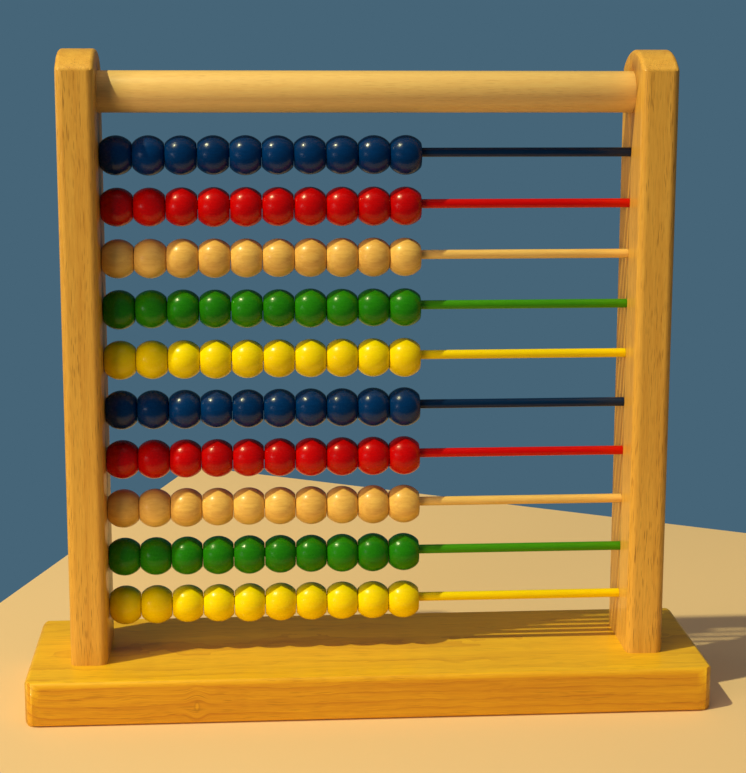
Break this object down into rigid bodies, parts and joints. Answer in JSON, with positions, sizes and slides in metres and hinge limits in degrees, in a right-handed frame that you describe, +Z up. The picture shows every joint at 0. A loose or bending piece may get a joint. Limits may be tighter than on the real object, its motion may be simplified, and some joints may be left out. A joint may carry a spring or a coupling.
{
  "type": "bead abacus",
  "caption": "Wooden counting frame: arched posts on a board hold a round rail and thin rods of painted beads that slide from side to side.",
  "frame": {"origin": "middle of the board's underside, the flat face it stands on", "axes": "+Z up, front faces -Y, rods and rail run along X with all beads pushed to -X at rest"},
  "size_m": [0.305, 0.088, 0.2912],
  "materials": {
    "board_wood": "satin lacquer over pale hardwood with long grain",
    "post_wood": "satin lacquer over pale hardwood with short dark pores",
    "rail_wood": "satin lacquer over fine-grained pale hardwood",
    "screw_steel": "zinc plated",
    "rod_blue": "gloss blue paint on wood",
    "rod_red": "gloss red paint on wood",
    "rod_natural": "clear gloss lacquer on wood",
    "rod_green": "gloss green paint on wood",
    "rod_yellow": "gloss yellow paint on wood",
    "bead_blue": "gloss blue paint on wood",
    "bead_red": "gloss red paint on wood",
    "bead_natural": "clear gloss lacquer on wood",
    "bead_green": "gloss green paint on wood",
    "bead_yellow": "gloss yellow paint on wood"
  },
  "bodies": {
    "frame": {"base_board": "board_wood", "left_post": "post_wood", "right_post": "post_wood", "top_rail": "rail_wood", "base_screws": "screw_steel"},
    "rod_01": {"rod_01": "rod_blue"},
    "rod_02": {"rod_02": "rod_red"},
    "rod_03": {"rod_03": "rod_natural"},
    "rod_04": {"rod_04": "rod_green"},
    "rod_05": {"rod_05": "rod_yellow"},
    "rod_06": {"rod_06": "rod_blue"},
    "rod_07": {"rod_07": "rod_red"},
    "rod_08": {"rod_08": "rod_natural"},
    "rod_09": {"rod_09": "rod_green"},
    "rod_10": {"rod_10": "rod_yellow"},
    "row_01_left": {"row_01_left": "bead_blue"},
    "row_01_right": {"row_01_right": "bead_blue"},
    "row_02_left": {"row_02_left": "bead_red"},
    "row_02_right": {"row_02_right": "bead_red"},
    "row_03_left": {"row_03_left": "bead_natural"},
    "row_03_right": {"row_03_right": "bead_natural"},
    "row_04_left": {"row_04_left": "bead_green"},
    "row_04_right": {"row_04_right": "bead_green"},
    "row_05_left": {"row_05_left": "bead_yellow"},
    "row_05_right": {"row_05_right": "bead_yellow"},
    "row_06_left": {"row_06_left": "bead_blue"},
    "row_06_right": {"row_06_right": "bead_blue"},
    "row_07_left": {"row_07_left": "bead_red"},
    "row_07_right": {"row_07_right": "bead_red"},
    "row_08_left": {"row_08_left": "bead_natural"},
    "row_08_right": {"row_08_right": "bead_natural"},
    "row_09_left": {"row_09_left": "bead_green"},
    "row_09_right": {"row_09_right": "bead_green"},
    "row_10_train": {"row_10_train": "bead_yellow"}
  },
  "joints": [
    {"name": "rod_01_spin", "type": "hinge", "parent": "frame", "child": "rod_01", "pos_m": [0, 0, 0.2463], "axis": [1, 0, 0], "continuous": true},
    {"name": "rod_02_spin", "type": "hinge", "parent": "frame", "child": "rod_02", "pos_m": [0, 0, 0.2236], "axis": [1, 0, 0], "continuous": true},
    {"name": "rod_03_spin", "type": "hinge", "parent": "frame", "child": "rod_03", "pos_m": [0, 0, 0.2009], "axis": [1, 0, 0], "continuous": true},
    {"name": "rod_04_spin", "type": "hinge", "parent": "frame", "child": "rod_04", "pos_m": [0, 0, 0.1782], "axis": [1, 0, 0], "continuous": true},
    {"name": "rod_05_spin", "type": "hinge", "parent": "frame", "child": "rod_05", "pos_m": [0, 0, 0.1555], "axis": [1, 0, 0], "continuous": true},
    {"name": "rod_06_spin", "type": "hinge", "parent": "frame", "child": "rod_06", "pos_m": [0, 0, 0.1328], "axis": [1, 0, 0], "continuous": true},
    {"name": "rod_07_spin", "type": "hinge", "parent": "frame", "child": "rod_07", "pos_m": [0, 0, 0.1101], "axis": [1, 0, 0], "continuous": true},
    {"name": "rod_08_spin", "type": "hinge", "parent": "frame", "child": "rod_08", "pos_m": [0, 0, 0.0874], "axis": [1, 0, 0], "continuous": true},
    {"name": "rod_09_spin", "type": "hinge", "parent": "frame", "child": "rod_09", "pos_m": [0, 0, 0.0647], "axis": [1, 0, 0], "continuous": true},
    {"name": "rod_10_spin", "type": "hinge", "parent": "frame", "child": "rod_10", "pos_m": [0, 0, 0.042], "axis": [1, 0, 0], "continuous": true},
    {"name": "row_01_left_slide", "type": "slide", "parent": "frame", "child": "row_01_left", "axis": [1, 0, 0], "range_m": [0, 0.09335]},
    {"name": "row_01_right_slide", "type": "slide", "parent": "row_01_left", "child": "row_01_right", "axis": [-1, 0, 0], "range_m": [-0.09335, 0]},
    {"name": "row_02_left_slide", "type": "slide", "parent": "frame", "child": "row_02_left", "axis": [1, 0, 0], "range_m": [0, 0.09335]},
    {"name": "row_02_right_slide", "type": "slide", "parent": "row_02_left", "child": "row_02_right", "axis": [-1, 0, 0], "range_m": [-0.09335, 0]},
    {"name": "row_03_left_slide", "type": "slide", "parent": "frame", "child": "row_03_left", "axis": [1, 0, 0], "range_m": [0, 0.09335]},
    {"name": "row_03_right_slide", "type": "slide", "parent": "row_03_left", "child": "row_03_right", "axis": [-1, 0, 0], "range_m": [-0.09335, 0]},
    {"name": "row_04_left_slide", "type": "slide", "parent": "frame", "child": "row_04_left", "axis": [1, 0, 0], "range_m": [0, 0.09335]},
    {"name": "row_04_right_slide", "type": "slide", "parent": "row_04_left", "child": "row_04_right", "axis": [-1, 0, 0], "range_m": [-0.09335, 0]},
    {"name": "row_05_left_slide", "type": "slide", "parent": "frame", "child": "row_05_left", "axis": [1, 0, 0], "range_m": [0, 0.09335]},
    {"name": "row_05_right_slide", "type": "slide", "parent": "row_05_left", "child": "row_05_right", "axis": [-1, 0, 0], "range_m": [-0.09335, 0]},
    {"name": "row_06_left_slide", "type": "slide", "parent": "frame", "child": "row_06_left", "axis": [1, 0, 0], "range_m": [0, 0.09335]},
    {"name": "row_06_right_slide", "type": "slide", "parent": "row_06_left", "child": "row_06_right", "axis": [-1, 0, 0], "range_m": [-0.09335, 0]},
    {"name": "row_07_left_slide", "type": "slide", "parent": "frame", "child": "row_07_left", "axis": [1, 0, 0], "range_m": [0, 0.09335]},
    {"name": "row_07_right_slide", "type": "slide", "parent": "row_07_left", "child": "row_07_right", "axis": [-1, 0, 0], "range_m": [-0.09335, 0]},
    {"name": "row_08_left_slide", "type": "slide", "parent": "frame", "child": "row_08_left", "axis": [1, 0, 0], "range_m": [0, 0.09335]},
    {"name": "row_08_right_slide", "type": "slide", "parent": "row_08_left", "child": "row_08_right", "axis": [-1, 0, 0], "range_m": [-0.09335, 0]},
    {"name": "row_09_left_slide", "type": "slide", "parent": "frame", "child": "row_09_left", "axis": [1, 0, 0], "range_m": [0, 0.09335]},
    {"name": "row_09_right_slide", "type": "slide", "parent": "row_09_left", "child": "row_09_right", "axis": [-1, 0, 0], "range_m": [-0.09335, 0]},
    {"name": "row_10_train_slide", "type": "slide", "parent": "frame", "child": "row_10_train", "axis": [1, 0, 0], "range_m": [0, 0.09335]}
  ]
}
